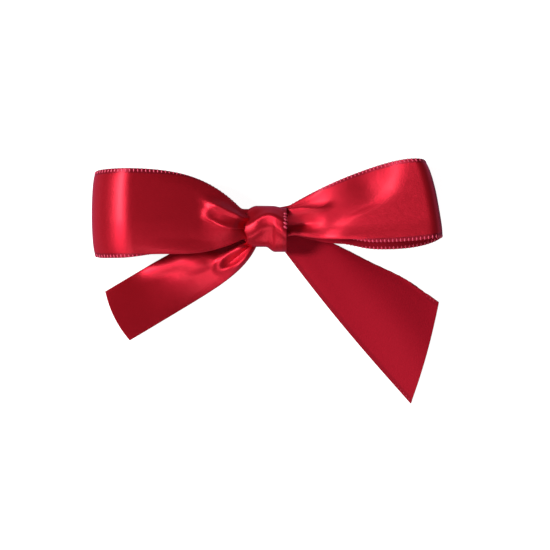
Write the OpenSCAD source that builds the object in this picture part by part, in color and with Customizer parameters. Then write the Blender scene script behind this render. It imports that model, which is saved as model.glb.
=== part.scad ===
// A pre-made gift bow, hand tied from one length of single-face satin ribbon, with a stick-on
// foam pad behind its knot. It lies on its back: +Z points out of the bow's front, +Y to its top
// and +X to its right. The origin is under the middle of its outline. Sizes are in millimetres.

/* [Ribbon] */
// Width of the ribbon
ribbon_w = 22; // [20:0.5:24]
// Thickness of the strip that stands for the ribbon
ribbon_t = 0.4; // [0.3:0.05:0.5]

/* [Loops] */
// From the knot's middle to the end of the left loop
left_reach = 44.85; // [38:0.05:48]
// From the knot's middle to the end of the right loop
right_reach = 44.2; // [38:0.1:48]
// Upward tilt of the right loop in degrees
right_tilt = 10.3; // [6:0.1:14]
// Height of the loops' front face above the surface
loop_top = 14.6; // [13:0.1:17]
// Radius of the rounded end of each loop
end_r = 5.8; // [5:0.1:5.9]

/* [Tails] */
// From the knot's middle to the cut end of the left tail
left_tail_len = 44.1; // [36:0.1:50]
// From the knot's middle to the near corner of the right tail's slanted cut
right_tail_short = 42.2; // [36:0.1:46]
// From the knot's middle to the far corner of the right tail's slanted cut
right_tail_long = 57.9; // [50:0.1:62]
// Height of the arch along the left tail
arch_h = 4.6; // [3:0.1:5]

/* [Knot] */
// Width of the turn of ribbon round the middle, across the bow
knot_w = 11; // [9:0.5:12]
// Height of the knot, up the bow
knot_h = 11.8; // [11:0.1:12.5]
// Depth of the knot, front to back
knot_d = 7.4; // [7:0.1:8]
// Thickness of the gathered layers in the wrap
wrap_t = 1; // [0.8:0.1:1.2]

/* [Stick-on pad] */
// Side of the square foam pad
pad_w = 8; // [6:0.5:9]
// Thickness of the foam
foam_t = 1; // [0.8:0.1:1.5]
// Thickness of each adhesive film
film_t = 0.1; // [0.1:0.05:0.2]
// Thickness of the release liner
liner_t = 0.1; // [0.1:0.05:0.2]
// How far the liner's finger tab stands out past the pad
tab_l = 4; // [3:0.5:5]

/* [Hidden] */
$fn = 48;

satin_red = [0.72, 0.04, 0.11];
dull_red = [0.62, 0.06, 0.13];
deep_red = [0.5, 0.03, 0.08];

// the knot's middle, seen from the front
knot_c = [-0.25, 13.42];
// distances from the knot's middle at which the loops and the tails start, just clear of the knot
left_neck_d = 6.1;
right_neck_d = 6.9;
left_root_d = 6.6;
right_root_d = 7;
half_knot_t = 1.9;
pad_top = liner_t + 2 * film_t + foam_t;
half_knot_top = pad_top + half_knot_t;
loop_low = loop_top - 2 * end_r;
// heights at which the front and back layers enter the knot
neck_front_z = 8.9;
neck_back_z = 5.5;
// steps along the straight runs, round each end and across the ribbon
run_steps = 12;
end_steps = 8;
across_steps = 6;
tail_steps = 16;
tail_across_steps = 10;

// Edges of each loop above and below its centre line: [at the knot, spread, how fast, end drop]
left_top_edge = [4.6, 10.4, 3.9, 0.7];
left_low_edge = [-3.2, ribbon_w * -0.195, 4.6, 0];
right_top_edge = [4.2, 7, 2.1, 1.4];
right_front_edge = [-3.3, -7.1, 1.9, 0];
right_back_edge = [-3.3, -8.6, 2.2, -1.6];

function ease(t, power) = 1 - pow(1 - t, power);

function smooth(t) = t * t * (3 - 2 * t);

function clamp01(t) = min(max(t, 0), 1);

function edge(t, e) = e[0] + e[1] * ease(t, e[2]) - e[3] * pow(t, 10);

function bezier(p, steps) = [
    for (i = [0 : steps])
        let (t = i / steps, s = 1 - t)
            s * s * s * p[0] + 3 * s * s * t * p[1] + 3 * s * t * t * p[2] + t * t * t * p[3]
];

// A point given as [distance from the knot, height up the bow, height off the surface],
// along a direction. side is -1 for pieces that point left, so that up stays up.
function place(p, angle, side) = [
    knot_c[0] + p[0] * cos(angle) - side * p[1] * sin(angle),
    knot_c[1] + p[0] * sin(angle) + side * p[1] * cos(angle),
    p[2]
];

// Side view of a loop: out along the front, round the end and back behind: [distance, height]
function loop_path(reach, neck_d) = concat(
    bezier([
        [neck_d, neck_front_z],
        [neck_d + 7, neck_front_z + 4.6],
        [reach - 17, loop_top + 0.5],
        [reach - end_r, loop_top]
    ], run_steps),
    [
        for (i = [1 : end_steps - 1])
            let (a = 90 - 180 * i / end_steps)
                [reach - end_r + end_r * cos(a), loop_top - end_r + end_r * sin(a)]
    ],
    bezier([
        [reach - end_r, loop_low],
        [reach - 17, loop_low],
        [neck_d + 9, loop_low],
        [neck_d, neck_back_z]
    ], run_steps)
);

// Rows of points along a loop, each row running across the ribbon.
function loop_grid(reach, neck_d, angle, side, top, front, back) =
    let (path = loop_path(reach, neck_d), last = len(path) - 1)
        [
            for (i = [0 : last])
                let (
                    t = clamp01((path[i][0] - neck_d) / (reach - neck_d)),
                    behind = smooth(clamp01((i / last - 0.4) / 0.2)),
                    low = edge(t, front) * (1 - behind) + edge(t, back) * behind,
                    high = edge(t, top)
                )
                    [
                        for (j = [0 : across_steps])
                            place([
                                path[i][0],
                                low + (high - low) * j / across_steps,
                                path[i][1]
                            ], angle, side)
                    ]
        ];

// The left tail is arched across its width, with its upper edge lying flat under the loop.
function left_tail_grid() = [
    for (i = [0 : tail_steps])
        let (
            s = i / tail_steps,
            d = left_root_d + (left_tail_len - left_root_d) * s,
            low = -2.3 - 4.3 * ease(s, 5),
            high = 2.2 + 5.3 * ease(s, 3),
            base = ribbon_t / 2 + 1.9 * pow(1 - s, 6),
            arch = arch_h * ease(s, 4)
        )
            [
                for (j = [0 : tail_across_steps])
                    let (
                        w = low + (high - low) * j / tail_across_steps,
                        off = w < -0.5 ? (w + 0.5) / (low + 0.5) : (w + 0.5) / 4.6
                    )
                        place([d, w, base + arch * cos(90 * clamp01(off))], 211, -1)
            ]
];

// The right tail fans out flat to its slanted cut.
function right_tail_grid() = [
    for (i = [0 : tail_steps])
        let (
            s = i / tail_steps,
            low = [right_root_d + (right_tail_long - right_root_d) * s, -0.1 - 0.8 * sin(180 * s)],
            high = [
                right_root_d + (right_tail_short - right_root_d) * s,
                5 + (ribbon_w - 5) * pow(s, 0.62)
            ]
        )
            [
                for (j = [0 : tail_across_steps])
                    let (
                        v = j / tail_across_steps,
                        p = low * (1 - v) + high * v,
                        base = ribbon_t / 2 + 1.9 * pow(1 - s, 5)
                    )
                        place([p[0], p[1], base], -50.3, 1)
            ]
];

function unit(v) = v / norm(v);

function sheet_normal(grid, i, j) =
    let (
        rows = len(grid) - 1,
        cols = len(grid[0]) - 1,
        along = grid[min(i + 1, rows)][j] - grid[max(i - 1, 0)][j],
        across = grid[i][min(j + 1, cols)] - grid[i][max(j - 1, 0)]
    )
        unit(cross(along, across));

// A closed strip of the given thickness, half of it on each side of a grid of points.
module ribbon_strip(grid, thickness) {
    rows = len(grid);
    cols = len(grid[0]);
    count = rows * cols;
    points = [
        for (face = [0.5, -0.5])
            for (i = [0 : rows - 1])
                for (j = [0 : cols - 1])
                    grid[i][j] + sheet_normal(grid, i, j) * thickness * face
    ];
    // the points round the strip's outline, in order
    rim = concat(
        [for (j = [0 : cols - 2]) j],
        [for (i = [0 : rows - 2]) i * cols + cols - 1],
        [for (j = [cols - 1 : -1 : 1]) (rows - 1) * cols + j],
        [for (i = [rows - 1 : -1 : 1]) i * cols]
    );
    faces = concat(
        [
            for (i = [0 : rows - 2])
                for (j = [0 : cols - 2])
                    for (half = [0, 1])
                        let (a = i * cols + j, b = a + 1, c = a + cols, d = c + 1)
                            half == 0 ? [a, b, d] : [a, d, c]
        ],
        [
            for (i = [0 : rows - 2])
                for (j = [0 : cols - 2])
                    for (half = [0, 1])
                        let (a = count + i * cols + j, b = a + 1, c = a + cols, d = c + 1)
                            half == 0 ? [a, d, b] : [a, c, d]
        ],
        [
            for (k = [0 : len(rim) - 1])
                for (half = [0, 1])
                    let (a = rim[k], b = rim[(k + 1) % len(rim)])
                        half == 0 ? [b, a, a + count] : [b, a + count, b + count]
        ]
    );
    polyhedron(points, faces);
}

// Round-ended slot shape, as wide as w and as high as h.
module stadium(w, h) {
    square([w - h, h], center = true);
    for (side = [-1, 1])
        translate([side * (w - h) / 2, 0])
            circle(d = h);
}

// A bar that runs across the bow through the knot.
module knot_bar(length, z) {
    translate([knot_c[0], knot_c[1], z])
        rotate([90, 0, 90])
            linear_extrude(length, center = true)
                children();
}

module rounded_plate(w, h, thickness, r, z) {
    translate([knot_c[0], knot_c[1], z])
        linear_extrude(thickness) {
            square([w - 2 * r, h], center = true);
            square([w, h - 2 * r], center = true);
            for (x = [-1, 1], y = [-1, 1])
                translate([x * (w / 2 - r), y * (h / 2 - r)])
                    circle(r);
        }
}

module loop_left() {
    color(satin_red)
        ribbon_strip(loop_grid(left_reach, left_neck_d, 180, -1, left_top_edge, left_low_edge,
            left_low_edge), ribbon_t);
}

module loop_right() {
    color(satin_red)
        ribbon_strip(loop_grid(right_reach, right_neck_d, right_tilt, 1, right_top_edge,
            right_front_edge, right_back_edge), -ribbon_t);
}

module tail_left() {
    color(satin_red)
        ribbon_strip(left_tail_grid(), ribbon_t);
}

module tail_right() {
    color(dull_red)
        ribbon_strip(right_tail_grid(), -ribbon_t);
}

module knot_wrap() {
    color(satin_red)
        knot_bar(knot_w, half_knot_top + knot_d / 2)
            difference() {
                stadium(knot_h, knot_d);
                stadium(knot_h - 2 * wrap_t, knot_d - 2 * wrap_t);
            }
}

module waist_gathers() {
    color(deep_red)
        knot_bar(knot_w, half_knot_top + knot_d / 2)
            stadium(knot_h - 2 * wrap_t, knot_d - 2 * wrap_t);
}

module half_knot() {
    color(dull_red)
        rounded_plate(knot_w - 1, knot_h - 2.3, half_knot_t, 2.5, pad_top);
}

module pad_square(z, thickness) {
    rounded_plate(pad_w, pad_w, thickness, 0.8, z);
}

module pad_adhesive_upper() {
    color([0.95, 0.95, 0.9])
        pad_square(liner_t + film_t + foam_t, film_t);
}

module pad_foam() {
    color("white")
        pad_square(liner_t + film_t, foam_t);
}

module pad_adhesive_lower() {
    color([0.95, 0.95, 0.9])
        pad_square(liner_t, film_t);
}

module release_liner() {
    color([0.96, 0.9, 0.72])
        translate([-tab_l / 2, 0, 0])
            rounded_plate(pad_w + tab_l, pad_w, liner_t, 1, 0);
}

loop_left();
loop_right();
tail_left();
tail_right();
knot_wrap();
waist_gathers();
half_knot();
pad_adhesive_upper();
pad_foam();
pad_adhesive_lower();
release_liner();
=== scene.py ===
import bmesh
import bpy
import numpy as np
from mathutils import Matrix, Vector


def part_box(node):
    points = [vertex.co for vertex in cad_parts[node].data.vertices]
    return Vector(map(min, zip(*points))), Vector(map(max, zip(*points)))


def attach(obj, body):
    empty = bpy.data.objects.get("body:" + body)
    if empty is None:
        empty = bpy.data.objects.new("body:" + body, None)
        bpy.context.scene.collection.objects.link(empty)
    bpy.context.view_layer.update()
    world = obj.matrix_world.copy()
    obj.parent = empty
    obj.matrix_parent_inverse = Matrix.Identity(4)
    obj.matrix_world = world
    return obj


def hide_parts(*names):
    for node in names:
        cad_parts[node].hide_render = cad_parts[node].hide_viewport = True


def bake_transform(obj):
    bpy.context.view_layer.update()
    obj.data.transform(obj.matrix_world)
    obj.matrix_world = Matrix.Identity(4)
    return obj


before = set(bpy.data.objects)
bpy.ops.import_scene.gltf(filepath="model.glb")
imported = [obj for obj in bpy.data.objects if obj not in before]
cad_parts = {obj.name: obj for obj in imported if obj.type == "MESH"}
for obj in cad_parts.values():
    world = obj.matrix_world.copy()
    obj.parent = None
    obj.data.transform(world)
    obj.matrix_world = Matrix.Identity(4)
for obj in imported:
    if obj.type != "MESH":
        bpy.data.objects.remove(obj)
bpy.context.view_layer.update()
scene = bpy.context.scene
scene.view_settings.view_transform = "Standard"
mm = 0.001  # shapes are worked out in millimetres and turned into metres at the end

ribbon = {
    "width": 22.0, "thick": 0.22,
    "edgeShade": (1.35, 1.0),  # painted shade, a darker line along each edge between the picot loops: how far in it begins and is full
}


def nodeBox(node):  # a node's corners in millimetres
    low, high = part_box(node)
    return np.array(low) / mm, np.array(high) / mm


wrapLow, wrapHigh = nodeBox("knot_wrap")
knotMid = (wrapLow + wrapHigh) / 2

cameraSetup = {"lens": 200, "sensor": 36, "away": 0.7906, "aim": (0.0021, 0.00105, 0.008)}
camData = bpy.data.cameras.new("camera")
camData.lens = cameraSetup["lens"]
camData.sensor_width = cameraSetup["sensor"]
camData.clip_start = 0.01
camera = bpy.data.objects.new("camera", camData)
scene.collection.objects.link(camera)
camera.location = Vector(cameraSetup["aim"]) + Vector((0, 0, cameraSetup["away"]))
scene.camera = camera
print("camera ready")


def smooth(low, high, x):
    t = np.clip((x - low) / (high - low), 0, 1)
    return t * t * (3 - 2 * t)


def bump(x, centre, width):
    return np.exp(-(((x - centre) / width) ** 2))


def slopes(x, start, *rises):  # a start value plus smooth rises: how much, from where, to where
    return start + sum(much * smooth(low, high, x) for much, low, high in rises)


def bezier(points, steps=24):
    t = np.linspace(0, 1, steps + 1)[:, None]
    s = 1 - t
    a, b, c, d = (np.array(p, float) for p in points)
    return s**3 * a + 3 * s * s * t * b + 3 * s * t * t * c + t**3 * d


def lengthsAlong(path):
    return np.r_[0, np.cumsum(np.linalg.norm(np.diff(path, axis=0), axis=1))]


def evenly(path, step):  # the same path with points a fixed step apart
    lengths = lengthsAlong(path)
    count = int(round(lengths[-1] / step))
    at = np.linspace(0, lengths[-1], count + 1)
    return np.stack([np.interp(at, lengths, path[:, k]) for k in range(path.shape[1])], 1), at


def through(x, table):  # a smooth curve through the given points
    xs, ys = np.array(table, float).T
    slope = np.gradient(ys, xs)
    k = np.clip(np.searchsorted(xs, x) - 1, 0, len(xs) - 2)
    step = xs[k + 1] - xs[k]
    t = (x - xs[k]) / step
    return (
        (1 + 2 * t) * (1 - t) ** 2 * ys[k] + t * (1 - t) ** 2 * step * slope[k]
        + t * t * (3 - 2 * t) * ys[k + 1] - t * t * (1 - t) * step * slope[k + 1]
    )


def gathered(u, away, folds, drift=None):
    # folds: rows of share of the ribbon's width, share of the room across, height, and how far
    # from the knot that fold lasts. Past that the ribbon lies flat.
    rows = np.array(folds, float)
    lasts = 1 - smooth(0.3, 1, away / rows[:, 3])
    flat = rows[:, 0]
    room = flat + (rows[:, 1] - flat) * lasts
    if drift is not None:
        room = room + drift(flat, away) * lasts
    return through(u, np.c_[flat, room]), through(u, np.c_[flat, rows[:, 2] * lasts])


def heading(degrees):
    a = np.radians(degrees)
    return np.array([np.cos(a), np.sin(a), 0.0])


def acrossBow(spec, d, w, z):  # a row of points, from distance along the piece, across it and height
    along = heading(spec["angle"])
    up = spec["side"] * np.array([-along[1], along[0], 0.0])
    row = knotMid * [1, 1, 0] + d[:, None] * along + w[:, None] * up
    row[:, 2] = row[:, 2] + z
    return row


def newPiece(name, bm, materials):
    mesh = bpy.data.meshes.new(name)
    bm.to_mesh(mesh)
    bm.free()
    piece = bpy.data.objects.new(name, mesh)
    scene.collection.objects.link(piece)
    for material in materials:
        mesh.materials.append(material)
    for face in mesh.polygons:
        face.use_smooth = True
    return piece


def ribbonPiece(name, places, alongLengths, materials, probe=(0.2, 0.5)):
    # places: rows of points along the ribbon, each running across it, in millimetres.
    # probe: shares along and across of a face that has to look up.
    rows, cols = places.shape[:2]
    bm = bmesh.new()
    bmesh.ops.create_grid(bm, x_segments=cols - 1, y_segments=rows - 1, size=1)
    bm.verts.ensure_lookup_table()
    weave = bm.loops.layers.uv.new("weave")
    for v in bm.verts:
        i, j = divmod(v.index, cols)
        v.co = Vector(places[i, j]) * mm
    for face in bm.faces:
        for corner in face.loops:
            i, j = divmod(corner.vert.index, cols)
            corner[weave].uv = (j / (cols - 1) * ribbon["width"], alongLengths[i])
    bm.normal_update()
    bm.faces.ensure_lookup_table()
    tested = bm.faces[int(rows * probe[0]) * (cols - 1) + int(cols * probe[1])]
    if tested.normal.z < 0:
        bmesh.ops.reverse_faces(bm, faces=bm.faces[:])
    piece = newPiece(name, bm, [*materials, cutEdge])
    wall = piece.modifiers.new("thickness", "SOLIDIFY")
    wall.thickness = ribbon["thick"] * mm
    wall.offset = 0
    wall.material_offset = 1
    wall.material_offset_rim = 2
    wall.edge_crease_inner = 1
    wall.edge_crease_outer = 1
    soft = piece.modifiers.new("smooth", "SUBSURF")
    soft.levels = 1
    soft.render_levels = 1
    return piece


# spacing, half sizes, and how far each weft loop stands outside the edge
picot = {"pitch": 1.03, "long": 0.62, "wide": 0.25, "thick": 0.24, "outside": 0.14}


def picotEdges(name, places, edges, size=1.0):
    # Each edge is a column of places, an inner column that the weft loops point away from, and
    # how near the knot they may come.
    bm = bmesh.new()
    for edge, inner, clear in edges:
        line = np.concatenate([places[:, edge], places[:, inner]], axis=1)
        steps = lengthsAlong(places[:, edge])
        for at in np.arange(0, steps[-1], picot["pitch"]):
            here = np.array([np.interp(at, steps, line[:, k]) for k in range(6)])
            ahead = np.array([np.interp(at + 0.3, steps, line[:, k]) for k in range(3)])
            if np.hypot(*(here[:2] - knotMid[:2])) < clear:
                continue
            point = Vector(here[:3])
            outward = point - Vector(here[3:])
            reach = min(2 * picot["long"], 1.1 * outward.length)
            outward.normalize()
            along = Vector(ahead) - point
            if along.length < 1e-4:  # the very end of the edge
                continue
            along = (along - outward * along.dot(outward)).normalized()
            normal = outward.cross(along)
            made = bmesh.ops.create_uvsphere(bm, u_segments=6, v_segments=4, radius=1)
            for v in made["verts"]:
                c = v.co.copy()
                place = (
                    point
                    + outward * ((c.z - 1) / 2 * reach + picot["outside"] * size)
                    + along * c.x * picot["wide"] * size
                    + normal * c.y * picot["thick"] * size
                )
                v.co = place * mm
    return newPiece(name, bm, [picotThread])


def threadGroup():
    # fine lengthwise threads of the cloth, and a painted shade along its edges, read from the piece's own
    # weave map in millimetres
    group = bpy.data.node_groups.new("threads", "ShaderNodeTree")
    face = group.interface
    face.new_socket(name="Place", in_out="INPUT", socket_type="NodeSocketVector")
    for name, kind, value in (
        ("Across", "NodeSocketFloat", 7.0),
        ("Along", "NodeSocketFloat", 1.2),
        ("Colour", "NodeSocketColor", (0.5, 0.01, 0.03, 1)),
        ("Light Colour", "NodeSocketColor", (0.7, 0.02, 0.06, 1)),
        ("Relief", "NodeSocketFloat", 0.3),
        ("Rough Low", "NodeSocketFloat", 0.35),
        ("Rough High", "NodeSocketFloat", 0.5),
        # how much painted shade darkens the ribbon's edges
        ("Edge Shade", "NodeSocketFloat", 0.6),
    ):
        socket = face.new_socket(name=name, in_out="INPUT", socket_type=kind)
        socket.default_value = value
    face.new_socket(name="Colour", in_out="OUTPUT", socket_type="NodeSocketColor")
    face.new_socket(name="Roughness", in_out="OUTPUT", socket_type="NodeSocketFloat")
    face.new_socket(name="Height", in_out="OUTPUT", socket_type="NodeSocketFloat")
    nodes, link = group.nodes, group.links.new
    given = nodes.new("NodeGroupInput")
    result = nodes.new("NodeGroupOutput")

    def mathNode(operation, first, second=None):
        node = nodes.new("ShaderNodeMath")
        node.operation = operation
        link(first, node.inputs[0])
        if second is not None:
            link(second, node.inputs[1])
        return node

    split = nodes.new("ShaderNodeSeparateXYZ")
    link(given.outputs["Place"], split.inputs[0])
    join = nodes.new("ShaderNodeCombineXYZ")
    for axis, scale in (("X", "Across"), ("Y", "Along")):
        link(mathNode("MULTIPLY", split.outputs[axis], given.outputs[scale]).outputs[0], join.inputs[axis])
    noise = nodes.new("ShaderNodeTexNoise")
    noise.inputs["Scale"].default_value = 1.0
    noise.inputs["Detail"].default_value = 3.0
    noise.inputs["Roughness"].default_value = 0.65
    link(join.outputs[0], noise.inputs["Vector"])
    tint = nodes.new("ShaderNodeMix")
    tint.data_type = "RGBA"
    link(noise.outputs["Fac"], tint.inputs["Factor"])
    link(given.outputs["Colour"], tint.inputs[6])
    link(given.outputs["Light Colour"], tint.inputs[7])
    fromMid = mathNode("SUBTRACT", split.outputs["X"])  # how far from the middle of the ribbon
    fromMid.inputs[1].default_value = ribbon["width"] / 2
    away = mathNode("ABSOLUTE", fromMid.outputs[0])
    edge = nodes.new("ShaderNodeMapRange")
    edge.inputs["From Min"].default_value = ribbon["width"] / 2 - ribbon["edgeShade"][0]
    edge.inputs["From Max"].default_value = ribbon["width"] / 2 - ribbon["edgeShade"][1]
    link(away.outputs[0], edge.inputs["Value"])
    share = mathNode("MULTIPLY", edge.outputs["Result"], given.outputs["Edge Shade"])
    # painted shade: the colour darkens towards each edge of the ribbon, between the picot loops
    darker = nodes.new("ShaderNodeMix")
    darker.data_type = "RGBA"
    darker.inputs[7].default_value = (0.10, 0.001, 0.006, 1)
    link(share.outputs[0], darker.inputs["Factor"])
    link(tint.outputs[2], darker.inputs[6])
    link(darker.outputs[2], result.inputs["Colour"])
    rough = nodes.new("ShaderNodeMapRange")
    link(noise.outputs["Fac"], rough.inputs["Value"])
    rough.inputs["From Min"].default_value = 0.3
    rough.inputs["From Max"].default_value = 0.7
    link(given.outputs["Rough Low"], rough.inputs["To Min"])
    link(given.outputs["Rough High"], rough.inputs["To Max"])
    link(rough.outputs["Result"], result.inputs["Roughness"])
    relief = mathNode("MULTIPLY", noise.outputs["Fac"], given.outputs["Relief"])
    link(relief.outputs[0], result.inputs["Height"])
    return group


threads = threadGroup()


def plainMaterial(name, colour, roughness):
    material = bpy.data.materials.new(name)
    material.use_nodes = True
    shader = material.node_tree.nodes["Principled BSDF"]
    shader.inputs["Base Color"].default_value = (*colour, 1)
    shader.inputs["Roughness"].default_value = roughness
    return material


def addBump(material, height, strength):
    nodes, link = material.node_tree.nodes, material.node_tree.links.new
    relief = nodes.new("ShaderNodeBump")
    relief.inputs["Strength"].default_value = strength
    relief.inputs["Distance"].default_value = 0.0001
    link(height, relief.inputs["Height"])
    link(relief.outputs["Normal"], nodes["Principled BSDF"].inputs["Normal"])


def ribbonMaterial(name, look):
    material = bpy.data.materials.new(name)
    material.use_nodes = True
    nodes, link = material.node_tree.nodes, material.node_tree.links.new
    shader = nodes["Principled BSDF"]
    for socket, value in look["shader"].items():
        shader.inputs[socket].default_value = value
    weave = nodes.new("ShaderNodeGroup")
    weave.node_tree = threads
    uv = nodes.new("ShaderNodeUVMap")
    uv.uv_map = "weave"
    link(uv.outputs["UV"], weave.inputs["Place"])
    for socket, value in look["weave"].items():
        weave.inputs[socket].default_value = value
    link(weave.outputs["Colour"], shader.inputs["Base Color"])
    link(weave.outputs["Roughness"], shader.inputs["Roughness"])
    addBump(material, weave.outputs["Height"], look["bump"])
    if look["followsThreads"]:  # the highlight stretches across the threads
        tangent = nodes.new("ShaderNodeTangent")
        tangent.direction_type = "UV_MAP"
        tangent.uv_map = "weave"
        link(tangent.outputs["Tangent"], shader.inputs["Tangent"])
    return material


satinLook = {
    "shader": {
        "Metallic": 0.68, "IOR": 1.5, "Specular IOR Level": 1.0, "Specular Tint": (1.0, 0.4, 0.9, 1),
        "Anisotropic": 0.76, "Coat Weight": 0.08, "Coat Roughness": 0.3,
    },
    "weave": {
        "Across": 7.0, "Along": 1.2,
        "Colour": (0.48, 0.003, 0.006, 1), "Light Colour": (0.68, 0.009, 0.020, 1),
        # the last entry sets how much painted shade darkens the satin's edges
        "Relief": 1.0, "Rough Low": 0.41, "Rough High": 0.52, "Edge Shade": 0.5,
    },
    "bump": 0.5, "followsThreads": True,
}
# the wrap's edges get less of the painted edge shade
wrapLook = {**satinLook, "weave": {**satinLook["weave"], "Edge Shade": 0.2}}
backLook = {
    "shader": {
        "Specular IOR Level": 0.25, "Specular Tint": (1.0, 0.4, 0.5, 1),
        "Sheen Weight": 0.05, "Sheen Roughness": 0.5, "Sheen Tint": (1.0, 0.25, 0.35, 1),
    },
    "weave": {
        "Across": 5.0, "Along": 3.0,
        "Colour": (0.33, 0.002, 0.010, 1), "Light Colour": (0.50, 0.006, 0.024, 1),
        # the last entry sets how much painted shade darkens the back's edges
        "Relief": 1.0, "Rough Low": 0.6, "Rough High": 0.75, "Edge Shade": 0.25,
    },
    "bump": 0.8, "followsThreads": False,
}
satinFace = ribbonMaterial("satinFace", satinLook)
satinBack = ribbonMaterial("satinBack", backLook)
satinWrap = ribbonMaterial("satinWrap", wrapLook)
cutEdge = plainMaterial("cutEdge", (0.22, 0.002, 0.008), 0.9)
picotThread = plainMaterial("picotThread", (0.85, 0.07, 0.15), 0.35)
print("ribbon materials ready")

# Each loop is one strip, out along the front, round the end and back behind. These hold for both.
bothLoops = {
    "step": 0.7, "threads": 67,  # how closely the strip is divided, along and across
    "frontStart": (2.5, 8.3), "backEnd": (2.5, 5.6),  # where it leaves the knot: distance and height
    "roundsEnd": 6,  # steps over which the front turns into the back
    "curl": 0.4,  # how far both edges draw in at the end of the loop
    "bend": (5.2, 11),  # distances between which the real cloth gives when the loop is lifted
}


def edgeLine(t, edge):
    start, spread, power, drop = edge
    return start + spread * (1 - (1 - t) ** power) - drop * t**10


def loopPath(spec):  # side view
    reach, top, low, mid = spec["reach"], spec["top"], spec["low"], spec["mid"]
    flat, turn, drop = spec["flat"], spec["turn"], spec["drop"]
    legs = [
        [bothLoops["frontStart"], spec["rise"], (reach - flat - 9, top - spec["sag"]), (reach - flat, top)],
        [(reach - flat, top), (reach - turn, top + 0.1), (reach, top - drop), (reach, mid)],
        [(reach, mid), (reach, low + 2.4), (reach - 6, low), (reach - 12, low)],
        [(reach - 12, low), (reach - 22, low), (14, spec["backLift"]), bothLoops["backEnd"]],
    ]
    return evenly(np.vstack([bezier(leg)[1:] for leg in legs]), bothLoops["step"])


def buildLoop(spec):
    path, lengths = loopPath(spec)
    tangent = np.gradient(path, axis=0)
    tangent /= np.linalg.norm(tangent, axis=1)[:, None]
    outward = np.stack([-tangent[:, 1], tangent[:, 0]], 1)
    u = np.linspace(0, 1, bothLoops["threads"])
    v = 2 * u - 1
    last = np.argmax(path[:, 0])
    rows = []
    for i, (d, z) in enumerate(path):
        t = np.clip((d - spec["neck"]) / (spec["reach"] - spec["neck"]), 0, 1)
        behind = float(smooth(last - bothLoops["roundsEnd"], last + bothLoops["roundsEnd"], i))
        low = edgeLine(t, spec["frontEdge"]) * (1 - behind) + edgeLine(t, spec["backEdge"]) * behind
        high = edgeLine(t, spec["topEdge"]) * (1 - behind) + edgeLine(t, spec["backTop"]) * behind
        away = max(d - spec["neck"], 0)
        frontRoom, frontLift = gathered(u, away, spec["folds"], spec["drift"])
        backRoom, backLift = gathered(u, away, backFolds)
        w = low + (frontRoom * (1 - behind) + backRoom * behind) * (high - low)
        h = frontLift * (1 - behind) + backLift * behind
        h = h * (0.35 + 0.65 * smooth(3, 8, d)) - spec["camber"] * v**2
        tip = smooth(0.5, 1, t)
        drawnIn = (spec["bulgeTop"] * (v > 0) + spec["bulgeLow"] * (v < 0)) * v**2 * tip
        out = d + outward[i, 0] * h - drawnIn - bothLoops["curl"] * v**8 * tip
        height = z + outward[i, 1] * h + spec["relief"](spec, v, d, w) * (1 - behind)
        rows.append(acrossBow(spec, out, w, height))
    return np.array(rows), lengths


leftFolds = [
    (0.00, 0.12, -1.20, 33), (0.05, 0.03, -0.70, 33), (0.10, 0.02, -0.10, 28), (0.22, 0.14, 0.10, 14),
    (0.32, 0.29, 0.20, 12), (0.385, 0.39, 0.10, 11), (0.43, 0.455, 0.35, 11), (0.465, 0.40, 0.75, 11),
    (0.495, 0.35, 1.20, 11), (0.54, 0.37, 1.40, 11), (0.61, 0.48, 1.00, 12), (0.68, 0.60, 1.40, 12),
    (0.735, 0.69, 2.30, 12), (0.785, 0.75, 1.30, 12), (0.83, 0.82, 0.10, 12), (0.89, 0.92, -0.25, 20),
    (0.935, 0.98, -0.50, 26), (0.965, 0.995, -0.80, 26), (1.00, 1.00, -1.20, 26),
]
rightFolds = [
    (0.00, 0.12, -1.30, 20), (0.05, 0.02, -0.70, 20), (0.10, 0.01, -0.10, 18), (0.17, 0.09, 0.20, 12),
    (0.27, 0.22, -0.60, 9), (0.36, 0.35, -1.30, 9), (0.46, 0.52, -0.60, 9), (0.56, 0.70, 0.50, 11),
    (0.64, 0.84, 1.20, 12), (0.68, 0.885, 1.35, 12), (0.71, 0.87, 0.95, 12), (0.745, 0.78, 0.50, 12),
    (0.79, 0.76, 0.05, 12), (0.84, 0.85, -0.15, 12), (0.89, 0.94, -0.15, 12), (0.94, 0.985, -0.40, 10),
    (1.00, 1.00, -0.90, 10),
]
backFolds = [
    (0.00, 0.10, 0.50, 20), (0.10, 0.02, 0.10, 20), (0.25, 0.25, -0.50, 16), (0.36, 0.42, 0.40, 16),
    (0.44, 0.36, 0.90, 16), (0.52, 0.38, 0.20, 16), (0.64, 0.62, -0.50, 16), (0.74, 0.78, 0.40, 16),
    (0.80, 0.72, 0.90, 16), (0.88, 0.80, 0.20, 16), (0.96, 0.99, -0.30, 20), (1.00, 0.97, 0.30, 20),
]


def lipDrift(u, away):  # the fold slants from the top of the knot down across the loop
    return -0.035 * away * bump(u, 0.7, 0.14)


def leftRelief(spec, v, d, w):  # gathered cloth stands up near the knot, and the low side droops
    puff, leaf, droop = spec["puff"], spec["leaf"], spec["droop"]
    swell = puff["high"] * bump(v, *puff["across"]) * (1 - smooth(*puff["ends"], d))
    swell = swell * smooth(*puff["starts"], d)
    ring = np.hypot((d - leaf["at"][0]) / leaf["half"][0], (w - leaf["at"][1]) / leaf["half"][1])
    rim = leaf["high"] * bump(ring, 1, leaf["rim"]) * smooth(-0.1, 0.05, v)
    sag = droop["deep"] * np.clip(-v - droop["from"], 0, 1) ** 2 * smooth(*droop["starts"], d)
    return swell + rim - sag


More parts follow.
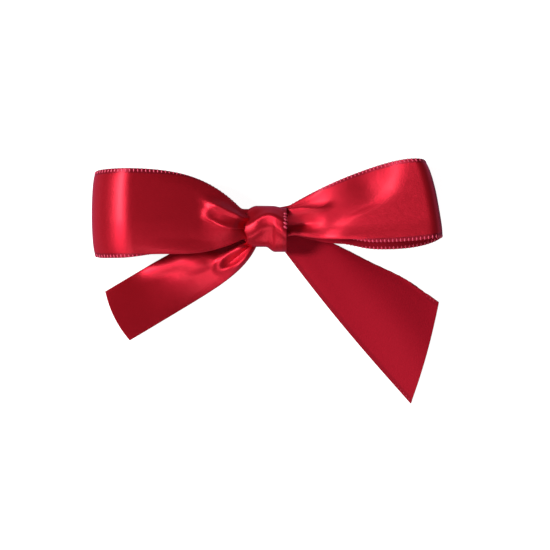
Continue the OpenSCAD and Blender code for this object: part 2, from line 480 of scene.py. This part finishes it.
def rightRelief(spec, v, d, w):  # a rounded step runs slantwise across the loop
    step, dent, panel, flare, pocket = (spec[k] for k in ("step", "dent", "panel", "flare", "pocket"))
    crest = step["high"] * (np.tanh((d - through(w, step["line"])) / step["soft"]) - 1)
    hollow = dent["deep"] * bump(d, *dent["along"]) * bump(w, *dent["across"])
    slope = panel["high"] * (np.tanh((d - panel["at"]) / panel["soft"]) - 1) * smooth(*panel["above"], w)
    lip = flare["high"] * smooth(*flare["side"], v) * smooth(*flare["starts"], d)
    nook = pocket["deep"] * bump(d, *pocket["along"]) * bump(w, *pocket["across"])
    return (crest - hollow + slope + lip) * (1 - smooth(*spec["reliefEnds"], d)) - nook


# Distances run from the middle of the knot and heights from the surface below the bow.
# neck, reach: where the cloth starts to open, and the end of the loop.
# top, mid, low: height of the front, the end and the back. flat, turn, drop: how the end rounds over.
# Each edge line: place beside the knot, how far it spreads, how soon, and how much it turns back.
# picots: see picotEdges. The other entries are the bumps and steps of its relief.
leftLoop = {
    "angle": 180, "side": -1, "neck": 6.1, "reach": 45.1,
    "top": 15.0, "low": 3.0, "mid": 6.5, "rise": (7.5, 10.2), "flat": 10.4, "turn": 6.6, "drop": 4.3,
    "sag": 1.1, "backLift": 7.0, "camber": 0.2, "bulgeTop": 0.4, "bulgeLow": 0.4,
    "topEdge": (4.6, 10.55, 3.9, 0.6), "frontEdge": (-3.2, -4.75, 4.6, 0),
    "backTop": (4.2, 10.2, 3.2, 0.4), "backEdge": (-2.5, -1.7, 3.0, 3.2),
    "folds": leftFolds, "drift": None, "relief": leftRelief,
    "puff": {"high": 2.0, "across": (0.02, 0.45), "starts": (5, 8.5), "ends": (8, 17)},
    "leaf": {"high": 0.5, "at": (11, 2.9), "half": (4.3, 2.9), "rim": 0.3},  # the leaf-shaped dimple
    "droop": {"deep": 2.6, "from": 0.1, "starts": (6, 14)},
    "picots": ((0, 3, 9), (-1, -4, 9)),
}
rightLoop = {
    "angle": 10.3, "side": 1, "neck": 6.9, "reach": 44.8,
    "top": 15.1, "low": 3.0, "mid": 8.6, "rise": (12, 9.7), "flat": 2.8, "turn": 1.3, "drop": 1.5,
    "sag": 1.6, "backLift": 3.0, "camber": 0.15, "bulgeTop": 0.9, "bulgeLow": 0.0,
    "topEdge": (4.4, 6.75, 2.1, 1.5), "frontEdge": (-3.3, -7.3, 1.9, 0),
    "backTop": (3.8, 6.8, 2.0, 1.4), "backEdge": (-3.3, -9.1, 2.2, -1.6),
    "folds": rightFolds, "drift": lipDrift, "relief": rightRelief, "reliefEnds": (41, 44.5),
    "step": {
        "high": 0.42, "soft": 2.4,
        "line": ((-9, 12), (-3.4, 18.5), (-1.3, 21.9), (0.65, 28.3), (3.1, 32.4), (6.1, 34.6), (12, 37)),
    },
    "dent": {"deep": 0.45, "along": (27.5, 4.2), "across": (6, 4)},
    "panel": {"high": 0.55, "at": 15, "soft": 4, "above": (1.5, 4)},
    "flare": {"high": 0.6, "side": (-0.45, -1), "starts": (12, 20)},
    "pocket": {"deep": 0.35, "along": (8.5, 3.5), "across": (-0.6, 1.6)},
    "picots": ((0, 3, 17), (-1, -4, 9)),
}

for name, spec, body, node in (
    ("left", leftLoop, "left_loop", "loop_left"),
    ("right", rightLoop, "right_loop", "loop_right"),
):
    places, lengths = buildLoop(spec)
    loop = ribbonPiece(name + "_loop_ribbon", places, lengths, [satinFace, satinBack])
    teeth = picotEdges(name + "_loop_picots", places, spec["picots"])
    for piece in (loop, teeth):
        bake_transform(piece)
    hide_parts(node)
print("loops made")

bothTails = {
    "threads": 61, "rows": 65, "squareEnd": 0.996,  # one more row close to the cut keeps it square
    "lowest": 0.3,  # no part of the cloth goes lower than this
    "picots": ((0, 3, 9), (-1, -4, 9)), "picotSize": 0.45,
    "bend": (4.5, 10),  # distances between which the real cloth gives when the tail is swung
}


def buildTail(spec):
    v = np.linspace(-1, 1, bothTails["threads"])
    rows = []
    for s in np.r_[np.linspace(0, 1, bothTails["rows"])[:-1], bothTails["squareEnd"], 1]:
        lowD, lowW = spec["low"](s)
        highD, highW = spec["high"](s)
        w, h = spec["section"](spec, v, s, lowW, highW)
        share = (w - lowW) / (highW - lowW)
        cut = spec["end"][0] - spec["end"][1] * (share - 0.5) ** 2
        d = lowD + (highD - lowD) * share + cut * smooth(0.8, 1, s)
        z = np.maximum(h + spec["lift"](spec, s) + spec["relief"](spec, d, w), bothTails["lowest"])
        rows.append(acrossBow(spec, d, w, z))
    places = np.array(rows)
    return places, lengthsAlong(places[:, bothTails["threads"] // 2])


tailGathers = [  # the left tail's folds where it leaves the knot
    (0.00, 0.16, -2.2, 1), (0.05, 0.05, -1.6, 1), (0.10, 0.00, -0.6, 1), (0.16, 0.06, 0.6, 1),
    (0.22, 0.13, 1.1, 1), (0.28, 0.20, 0.6, 1), (0.33, 0.26, 0.2, 1), (0.39, 0.32, 0.7, 1),
    (0.46, 0.40, 1.2, 1), (0.53, 0.48, 0.7, 1), (0.61, 0.56, -0.9, 1), (0.71, 0.68, -2.6, 1),
    (0.82, 0.86, -3.6, 1), (0.92, 1.00, -4.0, 1), (1.00, 0.92, -4.4, 1),
]
tailArch = [  # and its rounded section further out
    (0.00, 0.10, -0.9, 1), (0.05, 0.03, -0.8, 1), (0.10, 0.00, -0.3, 1), (0.20, 0.09, 0.8, 1),
    (0.34, 0.27, 1.9, 1), (0.50, 0.48, 2.7, 1), (0.65, 0.68, 2.9, 1), (0.78, 0.86, 2.2, 1),
    (0.87, 0.97, 1.0, 1), (0.93, 1.00, 0.0, 1), (1.00, 0.93, -0.7, 1),
]


def archedSection(spec, v, s, low, high):
    u = (1 + v) / 2
    nearRoom, nearLift = gathered(u, 0.0, tailGathers)
    farRoom, farLift = gathered(u, 0.0, tailArch)
    opening = smooth(*spec["opens"], s)
    flatter = 1 - spec["flattens"][0] * smooth(*spec["flattens"][1:], s)
    room = nearRoom * (1 - opening) + farRoom * opening
    h = nearLift * (1 - opening) + farLift * opening * flatter
    return low + room * (high - low), h - h.max()


def tailRelief(spec, d, w):  # a rounded step down across the tail, and a cupped fold beside the knot
    step, cup = spec["step"], spec["cup"]
    fall = step["high"] * (1 - np.tanh((d - through(w, step["line"])) / step["soft"]))
    ring = np.hypot((d - cup["at"][0]) / cup["half"][0], (w - cup["at"][1]) / cup["half"][1])
    cupped = cup["high"] * bump(ring, 1, cup["rim"]) - cup["deep"] * bump(ring, 0, cup["hollow"])
    return fall * smooth(*step["starts"], d) + cupped


def foldedSection(spec, v, s, low, high):
    # the spare width is folded under along the upper side, back and forth
    span = high - low
    layer = (1 + v) / 2 * ribbon["width"] / min(span, ribbon["width"])
    count = np.floor(layer)
    place = layer - count
    w = np.where(count % 2 == 0, low + place * span, high - place * span)
    bend = 0.5 * smooth(0.86, 1.0, place)
    h = -(count + bend) * spec["layerGap"] * smooth(1.05, 0.85, s)
    share = np.clip((w - low) / span, 0, 1)
    arch = spec["arch"] * np.sin(np.pi * share) + spec["ripple"] * np.sin(7 * share + 5 * s)
    return w, h + arch * smooth(0, 0.4, s)


def noRelief(spec, d, w):
    return 0 * w


# Low and high are the two edges: distance along and place across, from the knot (0) to the cut (1).
# Lift is the height of the cloth's middle, and end is how far the cut bulges and how it rounds off.
leftTail = {
    "angle": 211, "side": -1, "section": archedSection, "opens": (0.17, 0.36), "flattens": (0.6, 0.4, 0.8),
    "low": lambda s: (3 + 42.3 * s, -1.6 - 5.3 * (1 - (1 - s) ** 6.9)),
    "high": lambda s: (3 + 41.2 * s, 1.8 + 5.4 * (1 - (1 - s) ** 4.0)),
    "end": (1.1, 3.4),
    "lift": lambda spec, s: through(np.array([s]), spec["crest"])[0],
    "crest": (
        (0.0, 5.3), (0.07, 7.1), (0.12, 7.7), (0.18, 7.2), (0.26, 6.2),
        (0.36, 5.0), (0.48, 3.8), (0.6, 3.2), (0.75, 3.2), (1.0, 4.6),
    ),
    "relief": tailRelief,
    "step": {
        "high": 1.0, "soft": 3.2, "starts": (13, 23),
        "line": ((-7, 8), (-4, 9.5), (-2.2, 14), (-0.7, 20), (2.6, 25.2), (4.7, 30.2), (8, 33)),
    },
    "cup": {"at": (11, -2.7), "half": (4.9, 1.9), "high": 0.65, "rim": 0.28, "deep": 0.4, "hollow": 0.6},
}
rightTail = {
    "angle": -50.3, "side": 1, "section": foldedSection, "layerGap": 0.42, "arch": 1.5, "ripple": 0.3,
    "low": lambda s: (4 + 55.2 * s, -0.1 - 0.7 * np.sin(np.pi * s) - 0.2 * s),
    "high": lambda s: (4 + 39.5 * s, 4.2 + 18.1 * s**0.72 + 0.8 * np.sin(np.pi * smooth(0.45, 1.05, s))),
    "end": (0.9, 2.2),
    "lift": lambda spec, s: 0.55 + 2.2 * (1 - s) ** 3,
    "relief": noRelief,
}
for name, spec, body, node, faces, slot in (
    ("left", leftTail, "left_tail", "tail_left", [satinFace, satinBack], "satin"),
    ("right", rightTail, "right_tail", "tail_right", [satinBack, satinFace], "satin_back"),
):
    places, lengths = buildTail(spec)
    tail = ribbonPiece(name + "_tail_ribbon", places, lengths, faces, probe=(0.8, 0.5))
    teeth = picotEdges(name + "_tail_picots", places, bothTails["picots"], bothTails["picotSize"])
    for piece in (tail, teeth):
        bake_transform(piece)
    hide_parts(node)
print("tails made")

# The ribbon is folded in two along its length and wound once round the waist, so the wrap's left
# side is a smooth fold and its right side shows the ribbon's woven edge.
wrapShape = {
    "left": -5.75, "right": 5.35, "outerWidth": 11.6, "underRun": 0.9, "underIn": 0.12,
    "turn": (-115, 285, 101), "threads": 67, "lengthAt": 45,
    "leftOver": (0.45, 0, 0.8), "leftUnder": (1.1, 0.1, -0.8),  # how the fold leans, above and below
    "depth": 2.7, "rounding": {"front": 3.0, "back": 2.0},
    # across the wrap: a start value, then rises by how much, from where, to where
    "crown": (0, (1.1, -6.2, -1.5), (0.8, -2, 4.5), (-0.25, 4.2, 5.6)),
    "top": (5.45, (-0.5, 1.5, 5), (-1.4, -2.5, -6)),
    "bottom": (-5.0, (-1.3, 0, 2.3), (0.5, -3.5, -5.5)),
    "ridge": {"high": 2.6, "fall": 4.0, "across": (0.9, 4.6)},  # where up the bow it stands highest
    "pleat": {"high": 0.3, "from": (1.8, 2.5), "crease": 0.12, "at": (1.85, 0.4), "below": (-0.02, -0.4)},
    "band": {"high": 1.0, "below": 0.75, "half": 2.6, "square": 6},  # flatter part across the front
    "picotRows": (41, 54), "picots": ((-1, -4, 0),), "picotSize": 1.5,
}


def buildWrap(spec):
    ridge, pleat, band = spec["ridge"], spec["pleat"], spec["band"]
    fold = ribbon["width"] - spec["outerWidth"]
    u = np.linspace(0, ribbon["width"], spec["threads"])
    share = np.clip((u - fold) / spec["outerWidth"], 0, 1)
    onTop = smooth(-0.45, 0.45, u - fold)
    shrink = 1 - spec["underIn"] * (1 - onTop)
    rows = []
    for a in np.radians(np.linspace(*spec["turn"])):
        c, front = np.cos(a), np.clip(np.sin(a), 0, 1)
        over, under = (spec[k][0] * smooth(*spec[k][1:], c) for k in ("leftOver", "leftUnder"))
        left = spec["left"] - over * front + under * front
        x = np.where(u < fold, left + (fold - u) * spec["underRun"], left + share * (spec["right"] - left))
        crown, top, bottom = (slopes(x, *spec[k]) for k in ("crown", "top", "bottom"))
        apex = front * (ridge["high"] - ridge["fall"] * (1 - bump(x, *ridge["across"])))
        y = apex + np.where(c > 0, (top - apex) * c, (apex - bottom) * c)
        tuck = pleat["high"] * smooth(*pleat["from"], x) - pleat["crease"] * bump(x, *pleat["at"])
        tuck = tuck * smooth(*pleat["below"], c)
        level = band["high"] / (1 + ((y - apex + band["below"]) / band["half"]) ** band["square"])
        rounding = spec["rounding"]["front" if np.sin(a) > 0 else "back"]
        arch = np.sign(np.sin(a)) * (1 - abs(c) ** rounding) ** (1 / rounding)
        z = (spec["depth"] + (crown + tuck) * front) * arch + level * front
        rows.append(knotMid + np.stack([x, y * shrink, z * shrink], 1))
    places = np.array(rows)
    return places, lengthsAlong(places[:, spec["lengthAt"]])


places, lengths = buildWrap(wrapShape)
wrap = ribbonPiece("knot_wrap_ribbon", places, lengths, [satinWrap, satinBack], probe=(0.5, 0.75))
wrapTeeth = picotEdges("knot_wrap_picots", places[slice(*wrapShape["picotRows"])],
                       wrapShape["picots"], wrapShape["picotSize"])
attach(wrap, "knot")
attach(wrapTeeth, "knot")
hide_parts("knot_wrap")
print("knot wrap made")

# The waist inside the wrap and the half knot under it: the same ribbon, gathered to a bundle.
bundleShape = {"step": 0.5, "threads": 61, "passes": 3, "inset": 0.3, "rounded": 0.93, "sway": 0.12}


def bundle(low, high, spec):
    # rows run along X, each one zigzagging across the bundle from its lower to its upper side
    xs = np.arange(low[0], high[0] + spec["step"] / 2, spec["step"])
    q = np.linspace(0, 1, spec["threads"])
    low, high = low + spec["inset"], high - spec["inset"]
    rows = []
    for k, x in enumerate(xs):
        sway = spec["sway"] * np.sin(0.9 * k + 6 * q)
        zigzag = np.arccos(np.cos(np.pi * spec["passes"] * q) * spec["rounded"]) / np.pi
        y = low[1] + (high[1] - low[1]) * zigzag
        z = low[2] + (high[2] - low[2]) * q + sway
        rows.append(np.stack([np.full_like(q, x), y, z], 1))
    return np.array(rows), xs - xs[0]


for name, node, under in (
    ("waist_ribbon", "waist_gathers", "knot_wrap_ribbon"),
    ("half_knot_ribbon", "half_knot", "pad_foam"),
):
    places, lengths = bundle(*nodeBox(node), bundleShape)
    core = ribbonPiece(name, places, lengths, [satinFace, satinBack], probe=(0.5, 0.95))
    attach(core, "knot")
    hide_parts(node)
print("waist and half knot made")


def padMaterial(name, look):
    material = plainMaterial(name, look["light"], look["rough"])
    nodes, link = material.node_tree.nodes, material.node_tree.links.new
    shader = nodes["Principled BSDF"]
    for socket, value in look.get("shader", {}).items():
        shader.inputs[socket].default_value = value
    coords = nodes.new("ShaderNodeTexCoord")
    scale = nodes.new("ShaderNodeMapping")
    scale.inputs["Scale"].default_value = look["scale"]
    link(coords.outputs["Object"], scale.inputs["Vector"])
    grain = nodes.new("ShaderNodeTexVoronoi" if look["cells"] else "ShaderNodeTexNoise")
    grain.inputs["Scale"].default_value = 1.0
    link(scale.outputs["Vector"], grain.inputs["Vector"])
    value = grain.outputs["Distance" if look["cells"] else "Fac"]
    tint = nodes.new("ShaderNodeMix")
    tint.data_type = "RGBA"
    tint.inputs[6].default_value = (*look["dark"], 1)
    tint.inputs[7].default_value = (*look["light"], 1)
    link(value, tint.inputs["Factor"])
    link(tint.outputs[2], shader.inputs["Base Color"])
    addBump(material, value, look["bump"])
    return material


# nodes: the parts with this finish. scale is in grains a metre.
padLooks = {
    "foamCells": {
        "nodes": ("pad_foam",), "cells": True, "scale": (4200, 4200, 4200),
        "light": (0.9, 0.9, 0.88), "dark": (0.62, 0.62, 0.6), "rough": 0.8, "bump": 0.7,
    },
    "tackyFilm": {
        "nodes": ("pad_adhesive_upper", "pad_adhesive_lower"), "cells": False, "scale": (900, 900, 900),
        "light": (0.85, 0.84, 0.76), "dark": (0.74, 0.72, 0.62), "rough": 0.25, "bump": 0.15,
        "shader": {"Coat Weight": 0.4, "Coat Roughness": 0.2},
    },
    "releasePaper": {
        "nodes": ("release_liner",), "cells": False, "scale": (1500, 500, 1500),
        "light": (0.88, 0.79, 0.54), "dark": (0.78, 0.68, 0.43), "rough": 0.35, "bump": 0.12,
        "shader": {"Coat Weight": 0.5, "Coat Roughness": 0.25},
    },
}
for name, look in padLooks.items():
    material = padMaterial(name, look)
    for node in look["nodes"]:
        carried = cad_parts[node]
        carried.data.materials.clear()
        carried.data.materials.append(material)
print("pad finished")

studio = {
    "floorSize": 4, "floorHeight": -0.0001, "floorColour": (0.5, 0.5, 0.5), "floorRough": 0.8,
    "floorGlow": 0.93,  # only the camera sees this glow, so it lights nothing
    "sky": 0.16,
}
bpy.ops.mesh.primitive_plane_add(size=studio["floorSize"], location=(0, 0, studio["floorHeight"]))
floor = bpy.context.object
floor.name = "floor"
paleFloor = plainMaterial("paleFloor", studio["floorColour"], studio["floorRough"])
floorNodes, floorLink = paleFloor.node_tree.nodes, paleFloor.node_tree.links.new
floorShader = floorNodes["Principled BSDF"]
floorShader.inputs["Emission Color"].default_value = (1, 1, 1, 1)
seen = floorNodes.new("ShaderNodeLightPath")
glow = floorNodes.new("ShaderNodeMath")
glow.operation = "MULTIPLY"
glow.inputs[1].default_value = studio["floorGlow"]
floorLink(seen.outputs["Is Camera Ray"], glow.inputs[0])
floorLink(glow.outputs[0], floorShader.inputs["Emission Strength"])
floor.data.materials.append(paleFloor)

lights = {
    "key": {"from": (-0.36, 0.065, 0.37), "size": 0.1, "power": 2.15},
    "low left": {"from": (-0.08, -0.36, 0.30), "size": 0.3, "power": 0.75},
}
for name, spec in lights.items():
    data = bpy.data.lights.new(name, "AREA")
    data.size = spec["size"]
    data.energy = spec["power"]
    lamp = bpy.data.objects.new(name, data)
    scene.collection.objects.link(lamp)
    lamp.location = spec["from"]
    lamp.rotation_euler = (-Vector(spec["from"])).to_track_quat("-Z", "Y").to_euler()
world = bpy.data.worlds.new("studio")
scene.world = world
world.use_nodes = True
sky = world.node_tree.nodes["Background"]
sky.inputs["Color"].default_value = (1, 1, 1, 1)
sky.inputs["Strength"].default_value = studio["sky"]
print("lights ready")
